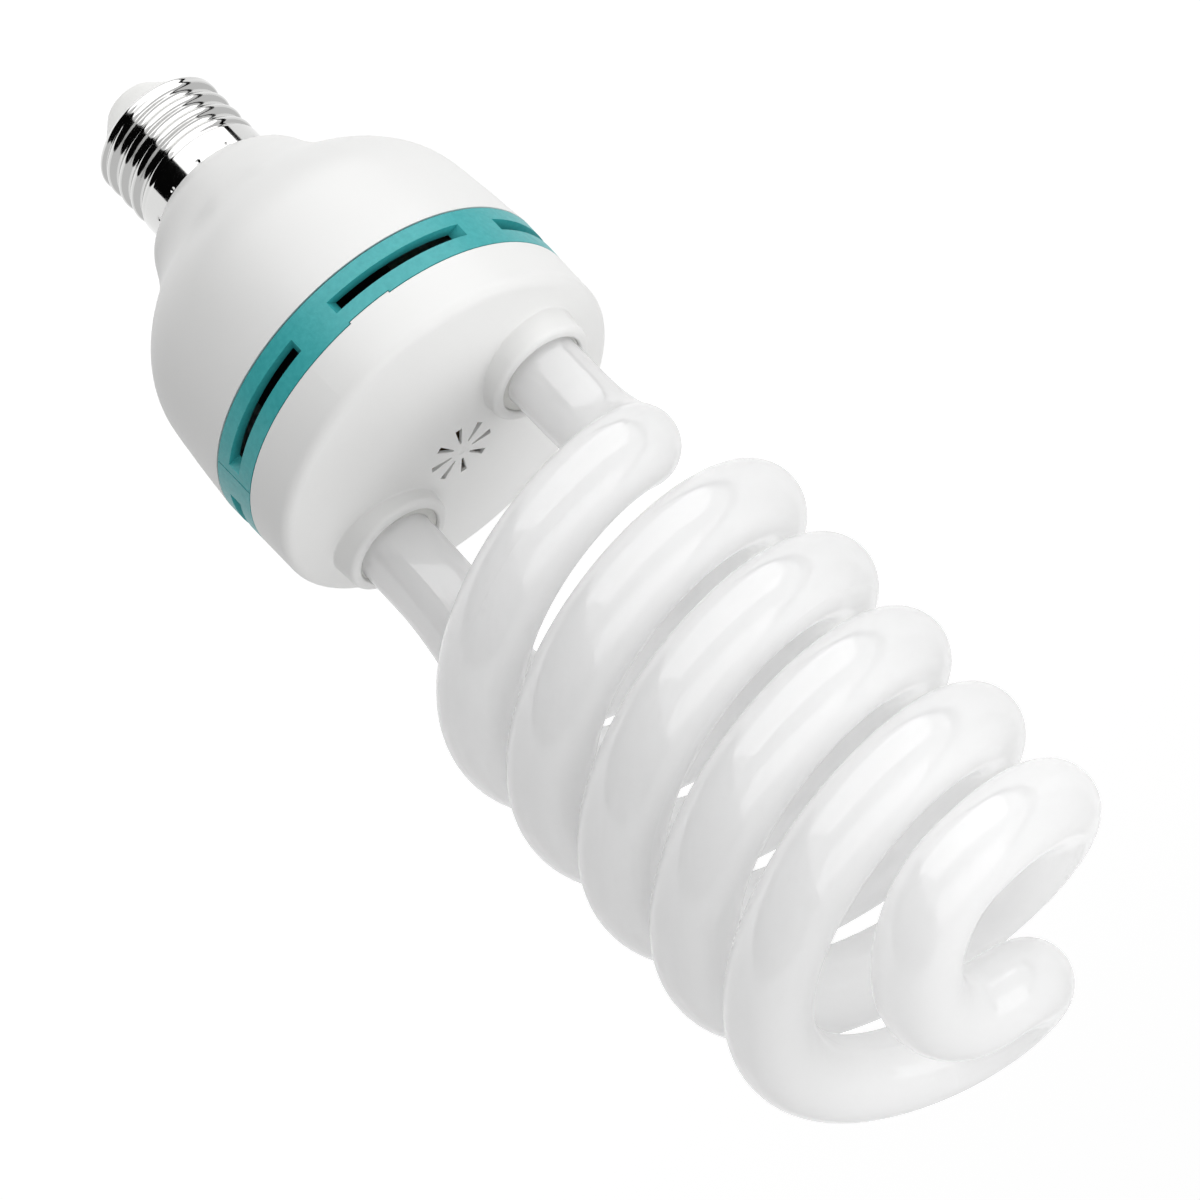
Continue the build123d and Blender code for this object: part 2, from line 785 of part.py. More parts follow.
def make_neutral_wire():
    """Wire from the screw shell, in through the neck's notch and up to the board."""
    height = neck_low + wire_diameter / 2 + 2 * pin_clearance
    bend = neck_inner - 3 * wire_diameter
    points = [
        (-neck_core, 0, height),
        (-bend, 0, height),
        (-bend + wire_diameter, 0, height + 8 * wire_diameter),
        (-wire_x, wire_y, wire_bend_height),
        (-wire_x, wire_y, board_top + pin_tail),
    ]
    drill(-wire_x, wire_y, wire_diameter)
    return make_wire(points, [1.5 * wire_diameter, 6 * wire_diameter, 12 * wire_diameter])


def make_filament_lead(x, y):
    """Straight lead from the tube's sealed end down through the board."""
    low = board_low - pin_tail
    drill(x, y, lead_diameter)
    return Pos(x, y, low) * extrude(Circle(lead_diameter / 2), face_height - leg_depth - low)


def make_circuit_board():
    """Round board with a hole for every pin, wire and post."""
    board = Pos(0, 0, board_low) * extrude(Circle(board_radius), board_thickness)
    for x, y in post_places():
        drill(x, y, post_pin_diameter)
    return board - board_holes


nodes = {
    "centre_contact": make_centre_contact(),
    "base_insulator": make_base_insulator(),
    "screw_shell": make_screw_shell(),
    "upper_housing": make_upper_housing(),
    "vent_ring": make_vent_ring(),
    "lower_housing": make_lower_housing(),
    "spiral_tube": make_spiral_tube(),
    "tube_cement": make_tube_cement(),
    "choke_core": make_choke_core(),
    "choke_bobbin": make_choke_bobbin(),
    "choke_winding": make_choke_winding(),
    "filter_core": make_filter_core(),
    "filter_winding": make_filter_winding(),
    "toroid_core": make_toroid_core(),
    "toroid_winding": make_toroid_winding(),
    "bridge_rectifier": make_bridge_rectifier(),
    "fuse_resistor": make_fuse_resistor(),
    "phase_wire": make_phase_wire(),
    "neutral_wire": make_neutral_wire(),
}
for number, side in enumerate((1, -1), start=1):
    nodes[f"bulk_capacitor_{number}"] = make_bulk_capacitor(side)
    nodes[f"power_transistor_{number}"] = make_power_transistor(side)
    nodes[f"heat_sink_{number}"] = make_heat_sink(side)
for number, (x, y, turn) in enumerate(film_places, start=1):
    nodes[f"film_capacitor_{number}"] = make_film_capacitor(x, y, turn)
lead_places = [(x, y) for x in (leg_offset, -leg_offset) for y in (lead_spread, -lead_spread)]
for number, (x, y) in enumerate(lead_places, start=1):
    nodes[f"filament_lead_{number}"] = make_filament_lead(x, y)
nodes["circuit_board"] = make_circuit_board()

os.makedirs("parts", exist_ok=True)
for name, shape in nodes.items():
    export_step(shape, f"parts/{name}.step")
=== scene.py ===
import math

import bpy
import numpy as np
from mathutils import Matrix, Vector


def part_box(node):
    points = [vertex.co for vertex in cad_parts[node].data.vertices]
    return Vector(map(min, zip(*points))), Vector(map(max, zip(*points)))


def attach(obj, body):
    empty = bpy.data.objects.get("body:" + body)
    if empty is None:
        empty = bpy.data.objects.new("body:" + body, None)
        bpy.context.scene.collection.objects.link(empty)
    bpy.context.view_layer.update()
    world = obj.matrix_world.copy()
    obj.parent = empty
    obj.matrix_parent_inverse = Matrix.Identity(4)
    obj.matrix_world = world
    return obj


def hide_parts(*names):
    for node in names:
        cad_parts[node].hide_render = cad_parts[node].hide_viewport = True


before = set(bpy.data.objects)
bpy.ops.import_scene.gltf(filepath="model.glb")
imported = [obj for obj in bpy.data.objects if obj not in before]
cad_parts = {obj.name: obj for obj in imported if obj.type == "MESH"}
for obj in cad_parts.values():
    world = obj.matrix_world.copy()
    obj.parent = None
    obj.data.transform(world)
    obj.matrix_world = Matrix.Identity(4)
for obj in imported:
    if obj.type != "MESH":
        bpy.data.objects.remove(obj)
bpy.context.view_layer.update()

# Screw shell: drawn brass with a rolled round thread, nickel plated, its end curled in over the insulator.
# The plain skirt above the thread is pushed over the housing's neck and punched into it at twelve places.
mm = 0.001
shell_low, shell_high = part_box("screw_shell")
shell_radius = shell_high.x
shell_wall = 0.35 * mm
shell_lip = 1.5 * mm
shell_edge = 1.0 * mm
thread_pitch = 3.629 * mm
thread_depth = 1.07 * mm
thread_first_crest = shell_low.z + 1.69 * mm
thread_start = shell_low.z + np.array([1.0, 2.4]) * mm
thread_end = shell_low.z + np.array([13.3, 14.8]) * mm
punch_count = 12
punch_turn = math.radians(39.5)
punch_height = shell_high.z - 0.75 * mm
punch_radius = 0.75 * mm
punch_depth = 0.3 * mm
shell_columns = 360
shell_outer_rows = 150
shell_inner_rows = 50
shell_edge_rows = 12
shell_sharp_angle = math.radians(50)
nickel_colour = "#D2D2D1"


def smooth_step(low, high, value):
    """Runs from 0 at low to 1 at high, level at both ends: three times the square less twice the cube."""
    share = np.clip((value - low) / (high - low), 0, 1)
    return share * share * (3 - 2 * share)


def thread_drop(angle, height):
    """Depth below the crest: an arc round the crest and an equal arc round the root, tangent half way.
    The crest climbs by one pitch for each turn, so the thread is right-handed. It fades in and out."""
    half = thread_pitch / 2
    bend = (half**2 + thread_depth**2) / (4 * thread_depth)
    turns = (height - thread_first_crest) / thread_pitch - angle / (2 * math.pi)
    off = np.abs(turns - np.round(turns)) * thread_pitch
    near = bend - np.sqrt(bend**2 - np.minimum(off, half / 2) ** 2)
    far = thread_depth - bend + np.sqrt(bend**2 - np.minimum(half - off, half / 2) ** 2)
    fade = smooth_step(*thread_start, height) * (1 - smooth_step(*thread_end, height))
    return np.where(off < half / 2, near, far) * fade


def punch_drop(angle, height):
    """Depth of the punch marks: a round bowl about each of the evenly spaced centres, level at its rim."""
    spacing = 2 * math.pi / punch_count
    across = (angle - punch_turn + spacing / 2) % spacing - spacing / 2
    off = np.hypot(across * shell_radius, height - punch_height)
    return punch_depth * (1 - smooth_step(0, punch_radius, off))


def shell_section():
    """Closed outline of the shell's wall before threading, as radius and height: out along the lip, round
    its edge and up the outside, then down the inside and back round a concentric edge to the lip."""
    swing = np.linspace(0, math.pi / 2, shell_edge_rows)
    middle_r = shell_radius - shell_edge
    middle_z = shell_low.z + shell_edge
    lip = [shell_radius - shell_lip]
    rise = np.linspace(middle_z, shell_high.z, shell_outer_rows)[1:]
    fall = np.linspace(shell_high.z, middle_z, shell_inner_rows)[:-1]
    inner = shell_edge - shell_wall
    radius = [
        lip,
        middle_r + shell_edge * np.sin(swing),
        np.full(rise.size, shell_radius),
        np.full(fall.size, shell_radius - shell_wall),
        middle_r + inner * np.sin(swing[::-1]),
        lip,
    ]
    height = [
        [shell_low.z],
        middle_z - shell_edge * np.cos(swing),
        rise,
        fall,
        middle_z - inner * np.cos(swing[::-1]),
        [shell_low.z + shell_wall],
    ]
    return np.concatenate(radius), np.concatenate(height)


def wound_mesh(name, points):
    """Closed surface through a grid of points, whose rows run round a section and whose columns run round
    the axis: each point joins the next in its row and in its column, and the last joins the first."""
    index = np.arange(points.shape[0] * points.shape[1]).reshape(points.shape[:2])
    beside = np.roll(index, -1, 1)
    quads = np.stack([index, beside, np.roll(beside, -1, 0), np.roll(index, -1, 0)], -1).reshape(-1, 4)
    mesh = bpy.data.meshes.new(name)
    mesh.from_pydata(points.reshape(-1, 3), [], quads)
    mesh.shade_smooth()
    mesh.set_sharp_from_angle(angle=shell_sharp_angle)
    return mesh


def linear(code):
    """Linear colour of an sRGB hex value: a straight line near black, and a power of 2.4 above it."""
    channels = np.array([int(code[first : first + 2], 16) for first in (1, 3, 5)]) / 255
    light = np.where(channels <= 0.04045, channels / 12.92, ((channels + 0.055) / 1.055) ** 2.4)
    return (*light.tolist(), 1.0)


def add(tree, kind, sockets, **settings):
    """Adds a node to a tree. Each socket gets a value, or a link where it is given another node's output.
    A socket goes by its name, or by its number on a node that repeats a name: a Mix of colours takes its
    share at 0 and the two colours at 6 and 7, and gives the mixed colour at output 2."""
    node = tree.nodes.new("ShaderNode" + kind)
    for key, value in settings.items():
        setattr(node, key, value)
    for key, value in sockets.items():
        if isinstance(value, bpy.types.NodeSocket):
            tree.links.new(value, node.inputs[key])
        else:
            node.inputs[key].default_value = value
    return node


def new_material(name):
    """Empty material, its node tree, and the place on the piece in metres."""
    material = bpy.data.materials.new(name)
    material.use_nodes = True
    tree = material.node_tree
    tree.nodes.clear()
    return material, tree, add(tree, "TexCoord", {}).outputs["Object"]


def nickel_plate():
    """Nickel over drawn brass: a bright mirror with a faint warm grey, blurred a little by rings that the
    drawing leaves round it, drawn 0.25 mm apart so that they show, and by thin patches of haze."""
    material, tree, place = new_material("nickel_plate")
    spread = (1 / (50 * mm), 1 / (50 * mm), 1 / (0.25 * mm))
    rings = add(tree, "Mapping", {"Vector": place, "Scale": spread})
    lines = add(tree, "TexNoise", {"Vector": rings.outputs[0], "Scale": 1.0, "Detail": 2.0})
    haze = add(tree, "TexNoise", {"Vector": place, "Scale": 1 / (5 * mm), "Detail": 3.0})
    ends = {"From Min": 0.35, "From Max": 0.7, "To Min": 0.07, "To Max": 0.13}
    blur = add(tree, "MapRange", {"Value": haze.outputs[0], **ends})
    bump = add(tree, "Bump", {"Height": lines.outputs[0], "Strength": 0.12, "Distance": 0.01 * mm})
    sockets = {"Base Color": linear(nickel_colour), "Metallic": 1.0, "Roughness": blur.outputs[0]}
    shader = add(tree, "BsdfPrincipled", {**sockets, "Normal": bump.outputs[0]})
    add(tree, "OutputMaterial", {"Surface": shader.outputs[0]})
    return material


def finish(material, *names):
    """Gives a material to CAD nodes."""
    for name in names:
        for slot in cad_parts[name].material_slots:
            slot.material = material


section_r, section_z = shell_section()
shell_angle = np.linspace(0, 2 * math.pi, shell_columns, endpoint=False)[None, :]
shell_z = section_z[:, None] + 0 * shell_angle
shell_r = section_r[:, None] - thread_drop(shell_angle, shell_z) - punch_drop(shell_angle, shell_z)
shell_points = np.stack([shell_r * np.cos(shell_angle), shell_r * np.sin(shell_angle), shell_z], -1)
threaded_shell = bpy.data.objects.new("threaded_shell", wound_mesh("threaded_shell", shell_points))
bpy.context.scene.collection.objects.link(threaded_shell)
nickel = nickel_plate()
threaded_shell.data.materials.append(nickel)
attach(threaded_shell, "root")
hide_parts("screw_shell")

# End contact and base insulator: a nickel plated disc riveted through a white moulded cone.
# The cone's flange is trapped under the curled end of the screw shell.
insulator_colour = "#F1F1EF"
insulator_shade = "#E6E6E3"


def thermoset_moulding():
    """Glass filled thermoset, compression moulded: white and fairly glossy, with faint cloudy flow marks."""
    material, tree, place = new_material("white_thermoset")
    cloud = add(tree, "TexNoise", {"Vector": place, "Scale": 1 / (3 * mm), "Detail": 4.0})
    tones = {0: cloud.outputs[0], 6: linear(insulator_shade), 7: linear(insulator_colour)}
    colour = add(tree, "Mix", tones, data_type="RGBA")
    speck = add(tree, "TexNoise", {"Vector": place, "Scale": 1 / (0.4 * mm), "Detail": 2.0})
    bump = add(tree, "Bump", {"Height": speck.outputs[0], "Strength": 0.2, "Distance": 0.02 * mm})
    sockets = {"Base Color": colour.outputs[2], "Roughness": 0.3, "IOR": 1.55}
    shader = add(tree, "BsdfPrincipled", {**sockets, "Normal": bump.outputs[0]})
    add(tree, "OutputMaterial", {"Surface": shader.outputs[0]})
    return material


finish(nickel, "centre_contact")
finish(thermoset_moulding(), "base_insulator")

# Upper and lower housing: two white mouldings of PBT, which takes the heat of the tube and the ballast.
# The moulds were spark eroded, and the halves snap together over the vent ring.
housing_colour = "#EFEFEE"
housing_shade = "#E9E9E8"


def white_moulding():
    """PBT from a spark eroded mould: a soft sheen broken by fine even grain, drawn at 0.45 mm so that it
    shows, with slow changes of tone where the plastic flowed."""
    material, tree, place = new_material("white_pbt")
    flow = add(tree, "TexNoise", {"Vector": place, "Scale": 1 / (25 * mm), "Detail": 2.0})
    tones = {0: flow.outputs[0], 6: linear(housing_shade), 7: linear(housing_colour)}
    colour = add(tree, "Mix", tones, data_type="RGBA")
    grain = add(tree, "TexNoise", {"Vector": place, "Scale": 1 / (0.45 * mm), "Detail": 2.0})
    ends = {"From Min": 0.3, "From Max": 0.7, "To Min": 0.36, "To Max": 0.46}
    blur = add(tree, "MapRange", {"Value": grain.outputs[0], **ends})
    bump = add(tree, "Bump", {"Height": grain.outputs[0], "Strength": 0.25, "Distance": 0.03 * mm})
    sockets = {"Base Color": colour.outputs[2], "Roughness": blur.outputs[0], "IOR": 1.5}
    shader = add(tree, "BsdfPrincipled", {**sockets, "Normal": bump.outputs[0]})
    add(tree, "OutputMaterial", {"Surface": shader.outputs[0]})
    return material


finish(white_moulding(), "upper_housing", "lower_housing")

# Vent ring: a teal band moulded in PBT, with six arc slots that let the ballast's heat out.
# It laps into both housings and is held between them.
ring_colour = "#48B6B8"
ring_shade = "#209296"


def teal_moulding():
    """PBT coloured in the mass, from a coarser eroded mould than the housings: a sheen broken by a grain
    drawn at 0.5 mm so that it shows, with lighter flecks where the pigment is thin."""
    material, tree, place = new_material("teal_pbt")
    fleck = {"Vector": place, "Scale": 1 / (1.2 * mm), "Detail": 5.0, "Roughness": 0.65}
    flow = add(tree, "TexNoise", fleck)
    tones = {0: flow.outputs[0], 6: linear(ring_shade), 7: linear(ring_colour)}
    colour = add(tree, "Mix", tones, data_type="RGBA")
    grain = add(tree, "TexNoise", {"Vector": place, "Scale": 1 / (0.5 * mm), "Detail": 3.0})
    ends = {"From Min": 0.3, "From Max": 0.7, "To Min": 0.33, "To Max": 0.45}
    blur = add(tree, "MapRange", {"Value": grain.outputs[0], **ends})
    bump = add(tree, "Bump", {"Height": grain.outputs[0], "Strength": 0.45, "Distance": 0.05 * mm})
    sockets = {"Base Color": colour.outputs[2], "Roughness": blur.outputs[0], "IOR": 1.5}
    shader = add(tree, "BsdfPrincipled", {**sockets, "Normal": bump.outputs[0]})
    add(tree, "OutputMaterial", {"Surface": shader.outputs[0]})
    return material


finish(teal_moulding(), "vent_ring")

# Tube cement: silicone that fills the gap between each leg and its collar and holds the glass.
# It is poured, so its top is smooth and a little hollow.
cement_colour = "#E6E6E3"
cement_shade = "#D2D2CE"


def silicone():
    """Cured silicone: milky and translucent, wet-looking, with soft cloudy patches from air stirred in."""
    material, tree, place = new_material("silicone")
    cloud = add(tree, "TexNoise", {"Vector": place, "Scale": 1 / (2 * mm), "Detail": 3.0})
    tones = {0: cloud.outputs[0], 6: linear(cement_shade), 7: linear(cement_colour)}
    colour = add(tree, "Mix", tones, data_type="RGBA")
    bump = add(tree, "Bump", {"Height": cloud.outputs[0], "Strength": 0.3, "Distance": 0.1 * mm})
    sockets = {"Base Color": colour.outputs[2], "Roughness": 0.25, "IOR": 1.41}
    reach = {"Subsurface Radius": (1.0, 1.0, 1.0), "Subsurface Scale": 1.0 * mm}
    scatter = {"Subsurface Weight": 0.4, **reach}
    shader = add(tree, "BsdfPrincipled", {**sockets, **scatter, "Normal": bump.outputs[0]})
    add(tree, "OutputMaterial", {"Surface": shader.outputs[0]})
    return material


finish(silicone(), "tube_cement")

# Spiral tube: one length of soda glass, coated inside with white phosphor, softened and wound on a mandrel.
# Its two legs stand in the collars of the lower housing.
glass_colour = "#FCFCFC"
glass_shade = "#F9F9F9"
powder_colour = "#FEFEFE"
powder_passes = 0.48


def opal_glass():
    """Clear glass over white phosphor powder: an even milky white under a sharp gloss. The thin powder lets
    part of the light into the hollow tube, which lights its shaded sides from within. Both skins of the
    glass mirror, so a clear coat adds to the gloss, which is set higher for the part that the mix takes.
    The drawn glass waves."""
    material, tree, place = new_material("phosphor_coated_glass")
    powder = add(tree, "TexNoise", {"Vector": place, "Scale": 1 / (12 * mm), "Detail": 3.0})
    tones = {0: powder.outputs[0], 6: linear(glass_shade), 7: linear(glass_colour)}
    colour = add(tree, "Mix", tones, data_type="RGBA")
    wave = add(tree, "TexNoise", {"Vector": place, "Scale": 1 / (9 * mm), "Detail": 1.0})
    bump = add(tree, "Bump", {"Height": wave.outputs[0], "Strength": 0.15, "Distance": 0.2 * mm})
    gloss = {"Roughness": 0.06, "IOR": 1.52, "Specular IOR Level": 0.7}
    coat = {"Coat Weight": 0.9, "Coat Roughness": 0.03, "Coat IOR": 1.52}
    normals = {"Normal": bump.outputs[0], "Coat Normal": bump.outputs[0]}
    shader = add(tree, "BsdfPrincipled", {"Base Color": colour.outputs[2], **gloss, **coat, **normals})
    passed = add(tree, "BsdfTranslucent", {"Color": linear(powder_colour)})
    both = add(tree, "MixShader", {0: powder_passes, 1: shader.outputs[0], 2: passed.outputs[0]})
    add(tree, "OutputMaterial", {"Surface": both.outputs[0]})
    return material


finish(opal_glass(), "spiral_tube")

# Circuit board: pressed phenolic paper, tan, cut round and drilled for the pins of the pieces on it.
# It is pushed over the four posts of the lower housing.
board_colour = "#B08648"
board_shade = "#94692F"


def phenolic_paper():
    """Paper pressed in phenolic resin: tan brown with short fibres, a dull resin sheen."""
    material, tree, place = new_material("phenolic_paper")
    spread = (1 / (2 * mm), 1 / (0.5 * mm), 1 / (0.5 * mm))
    stretch = add(tree, "Mapping", {"Vector": place, "Scale": spread})
    fibre = add(tree, "TexNoise", {"Vector": stretch.outputs[0], "Scale": 1.0, "Detail": 4.0})
    tones = {0: fibre.outputs[0], 6: linear(board_shade), 7: linear(board_colour)}
    colour = add(tree, "Mix", tones, data_type="RGBA")
    bump = add(tree, "Bump", {"Height": fibre.outputs[0], "Strength": 0.2, "Distance": 0.02 * mm})
    sockets = {"Base Color": colour.outputs[2], "Roughness": 0.45, "IOR": 1.55}
    shader = add(tree, "BsdfPrincipled", {**sockets, "Normal": bump.outputs[0]})
    add(tree, "OutputMaterial", {"Surface": shader.outputs[0]})
    return material


finish(phenolic_paper(), "circuit_board")

# Bulk capacitors: two aluminium cans shrunk into dark PVC sleeves, which smooth the rectified mains.
# They stand on the board on their own pins.
sleeve_colour = "#23262B"
sleeve_shade = "#171A1E"


def shrunk_sleeve():
    """Heat shrunk PVC film: near black and glossy, with slight ripples up the can."""
    material, tree, place = new_material("shrunk_pvc")
    spread = (1 / (1.5 * mm), 1 / (1.5 * mm), 1 / (12 * mm))
    stretch = add(tree, "Mapping", {"Vector": place, "Scale": spread})
    ripple = add(tree, "TexNoise", {"Vector": stretch.outputs[0], "Scale": 1.0, "Detail": 2.0})
    tones = {0: ripple.outputs[0], 6: linear(sleeve_shade), 7: linear(sleeve_colour)}
    colour = add(tree, "Mix", tones, data_type="RGBA")
    bump = add(tree, "Bump", {"Height": ripple.outputs[0], "Strength": 0.3, "Distance": 0.05 * mm})
    sockets = {"Base Color": colour.outputs[2], "Roughness": 0.22, "IOR": 1.53}
    shader = add(tree, "BsdfPrincipled", {**sockets, "Normal": bump.outputs[0]})
    add(tree, "OutputMaterial", {"Surface": shader.outputs[0]})
    return material


finish(shrunk_sleeve(), "bulk_capacitor_1", "bulk_capacitor_2")

# Chokes and drive toroid: ferrite cores with enamelled copper windings, one of them on a black bobbin.
# The windings' pins are soldered to the board.
ferrite_colour = "#3B3A3B"
ferrite_shade = "#2B2A2B"
copper_colour = "#C07648"
copper_shade = "#8C4A26"


def ferrite():
    """Pressed and fired ferrite: dark grey, matt, with a fine sandy surface."""
    material, tree, place = new_material("ferrite")
    sand = add(tree, "TexNoise", {"Vector": place, "Scale": 1 / (0.5 * mm), "Detail": 4.0})
    tones = {0: sand.outputs[0], 6: linear(ferrite_shade), 7: linear(ferrite_colour)}
    colour = add(tree, "Mix", tones, data_type="RGBA")
    bump = add(tree, "Bump", {"Height": sand.outputs[0], "Strength": 0.4, "Distance": 0.05 * mm})
    sockets = {"Base Color": colour.outputs[2], "Roughness": 0.55}
    shader = add(tree, "BsdfPrincipled", {**sockets, "Normal": bump.outputs[0]})
    add(tree, "OutputMaterial", {"Surface": shader.outputs[0]})
    return material


def enamelled_copper():
    """Copper wire under clear enamel, laid in turns: warm metal in level bands. The wave repeats at two pi
    times the size that it is given, so turns of 0.4 mm are drawn 2.5 mm apart, which lets them show."""
    material, tree, place = new_material("enamelled_copper")
    bands = {"Vector": place, "Scale": 1 / (0.4 * mm) / 20, "Distortion": 0.3}
    turns = add(tree, "TexWave", bands, bands_direction="Z")
    tones = {0: turns.outputs[1], 6: linear(copper_shade), 7: linear(copper_colour)}
    colour = add(tree, "Mix", tones, data_type="RGBA")
    bump = add(tree, "Bump", {"Height": turns.outputs[1], "Strength": 0.6, "Distance": 0.1 * mm})
    sockets = {"Base Color": colour.outputs[2], "Metallic": 1.0, "Roughness": 0.25}
    shader = add(tree, "BsdfPrincipled", {**sockets, "Normal": bump.outputs[0]})
    add(tree, "OutputMaterial", {"Surface": shader.outputs[0]})
    return material


finish(ferrite(), "choke_core", "filter_core", "toroid_core")
finish(enamelled_copper(), "choke_winding", "filter_winding", "toroid_winding")

# Transistors, bridge rectifier and choke bobbin: black mouldings, filled epoxy or nylon.
# The transistors' tabs are clamped to two plates of aluminium that carry their heat away.
moulding_colour = "#26272A"
moulding_shade = "#1B1C1E"
plate_colour = "#D3D4D6"


def black_moulding():
    """Mineral filled moulding: black going to dark grey, satin, with fine pits."""
    material, tree, place = new_material("black_moulding")
    pits = add(tree, "TexNoise", {"Vector": place, "Scale": 1 / (0.3 * mm), "Detail": 3.0})
    tones = {0: pits.outputs[0], 6: linear(moulding_shade), 7: linear(moulding_colour)}
    colour = add(tree, "Mix", tones, data_type="RGBA")
    bump = add(tree, "Bump", {"Height": pits.outputs[0], "Strength": 0.3, "Distance": 0.03 * mm})
    sockets = {"Base Color": colour.outputs[2], "Roughness": 0.5, "IOR": 1.55}
    shader = add(tree, "BsdfPrincipled", {**sockets, "Normal": bump.outputs[0]})
    add(tree, "OutputMaterial", {"Surface": shader.outputs[0]})
    return material


def mill_aluminium():
    """Sheet aluminium as rolled: pale grey metal with fine lines along the way that it was rolled."""
    material, tree, place = new_material("mill_aluminium")
    spread = (1 / (0.2 * mm), 1 / (0.2 * mm), 1 / (8 * mm))
    stretch = add(tree, "Mapping", {"Vector": place, "Scale": spread})
    lines = add(tree, "TexNoise", {"Vector": stretch.outputs[0], "Scale": 1.0, "Detail": 3.0})
    ends = {"From Min": 0.3, "From Max": 0.7, "To Min": 0.28, "To Max": 0.42}
    blur = add(tree, "MapRange", {"Value": lines.outputs[0], **ends})
    bump = add(tree, "Bump", {"Height": lines.outputs[0], "Strength": 0.2, "Distance": 0.01 * mm})
    sockets = {"Base Color": linear(plate_colour), "Metallic": 1.0, "Roughness": blur.outputs[0]}
    shader = add(tree, "BsdfPrincipled", {**sockets, "Normal": bump.outputs[0]})
    add(tree, "OutputMaterial", {"Surface": shader.outputs[0]})
    return material


finish(black_moulding(), "power_transistor_1", "power_transistor_2", "bridge_rectifier", "choke_bobbin")
finish(mill_aluminium(), "heat_sink_1", "heat_sink_2")

# Film capacitors and fuse resistor: wound film dipped in brown epoxy, and a resistor in green cement.
# Each stands or lies on the board on its own leads.
dip_colour = "#94502B"
dip_shade = "#7A3B1D"
coat_colour = "#8FA896"
coat_shade = "#7B9583"


def epoxy_dip():
    """Dipped epoxy: red brown, glossy, with a soft orange peel."""
    material, tree, place = new_material("dipped_epoxy")
    peel = add(tree, "TexNoise", {"Vector": place, "Scale": 1 / (1.2 * mm), "Detail": 2.0})
    tones = {0: peel.outputs[0], 6: linear(dip_shade), 7: linear(dip_colour)}
    colour = add(tree, "Mix", tones, data_type="RGBA")
    bump = add(tree, "Bump", {"Height": peel.outputs[0], "Strength": 0.3, "Distance": 0.08 * mm})
    sockets = {"Base Color": colour.outputs[2], "Roughness": 0.18, "IOR": 1.55}
    shader = add(tree, "BsdfPrincipled", {**sockets, "Normal": bump.outputs[0]})
    add(tree, "OutputMaterial", {"Surface": shader.outputs[0]})
    return material


def flameproof_coat():
    """Flameproof cement paint: grey green and matt, with a grainy brushed skin."""
    material, tree, place = new_material("flameproof_coat")
    skin = add(tree, "TexNoise", {"Vector": place, "Scale": 1 / (0.6 * mm), "Detail": 4.0})
    tones = {0: skin.outputs[0], 6: linear(coat_shade), 7: linear(coat_colour)}
    colour = add(tree, "Mix", tones, data_type="RGBA")
    bump = add(tree, "Bump", {"Height": skin.outputs[0], "Strength": 0.4, "Distance": 0.05 * mm})
    sockets = {"Base Color": colour.outputs[2], "Roughness": 0.6}
    shader = add(tree, "BsdfPrincipled", {**sockets, "Normal": bump.outputs[0]})
    add(tree, "OutputMaterial", {"Surface": shader.outputs[0]})
    return material


finish(epoxy_dip(), "film_capacitor_1", "film_capacitor_2", "film_capacitor_3")
finish(flameproof_coat(), "fuse_resistor")

# Wires: two in red PVC from the cap to the board, and four tinned leads from the tube's filaments.
# All are soldered at the board, and the cap's two at the contact and the shell.
sleeving_colour = "#B8352C"
sleeving_shade = "#9F2A22"
tin_colour = "#C9C8C4"


def wire_sleeving():
    """Extruded PVC: red, smooth and slightly waxy, with faint bands from the die."""
    material, tree, place = new_material("wire_pvc")
    bands = add(tree, "TexNoise", {"Vector": place, "Scale": 1 / (1.5 * mm), "Detail": 2.0})
    tones = {0: bands.outputs[0], 6: linear(sleeving_shade), 7: linear(sleeving_colour)}
    colour = add(tree, "Mix", tones, data_type="RGBA")
    bump = add(tree, "Bump", {"Height": bands.outputs[0], "Strength": 0.2, "Distance": 0.03 * mm})
    sockets = {"Base Color": colour.outputs[2], "Roughness": 0.35, "IOR": 1.53}
    shader = add(tree, "BsdfPrincipled", {**sockets, "Normal": bump.outputs[0]})
    add(tree, "OutputMaterial", {"Surface": shader.outputs[0]})
    return material


def tinned_wire():
    """Hot tinned wire: soft grey metal, uneven where the tin ran."""
    material, tree, place = new_material("tinned_wire")
    run = add(tree, "TexNoise", {"Vector": place, "Scale": 1 / (0.8 * mm), "Detail": 3.0})
    ends = {"From Min": 0.3, "From Max": 0.7, "To Min": 0.25, "To Max": 0.42}
    blur = add(tree, "MapRange", {"Value": run.outputs[0], **ends})
    bump = add(tree, "Bump", {"Height": run.outputs[0], "Strength": 0.3, "Distance": 0.02 * mm})
    sockets = {"Base Color": linear(tin_colour), "Metallic": 1.0, "Roughness": blur.outputs[0]}
    shader = add(tree, "BsdfPrincipled", {**sockets, "Normal": bump.outputs[0]})
    add(tree, "OutputMaterial", {"Surface": shader.outputs[0]})
    return material


finish(wire_sleeving(), "phase_wire", "neutral_wire")
finish(tinned_wire(), "filament_lead_1", "filament_lead_2", "filament_lead_3", "filament_lead_4")

# Studio: a wide pale floor well below the lamp, and a white room that lights it evenly.
# Both show white to the camera and pale in reflections, and the floor keeps the lamp's shadow.
floor_height = -0.65
floor_reach = 40.0
floor_colour = "#E8E8E8"
floor_glow = 0.72
room_colour = "#FFFFFF"
room_light = 0.32
room_glow = 0.41


def floor_mesh():
    """Square about the lamp's axis at the floor's height."""
    mesh = bpy.data.meshes.new("studio_floor")
    sides = ((-1, -1), (1, -1), (1, 1), (-1, 1))
    corners = [(x * floor_reach, y * floor_reach, floor_height) for x, y in sides]
    mesh.from_pydata(corners, [], [(0, 1, 2, 3)])
    return mesh


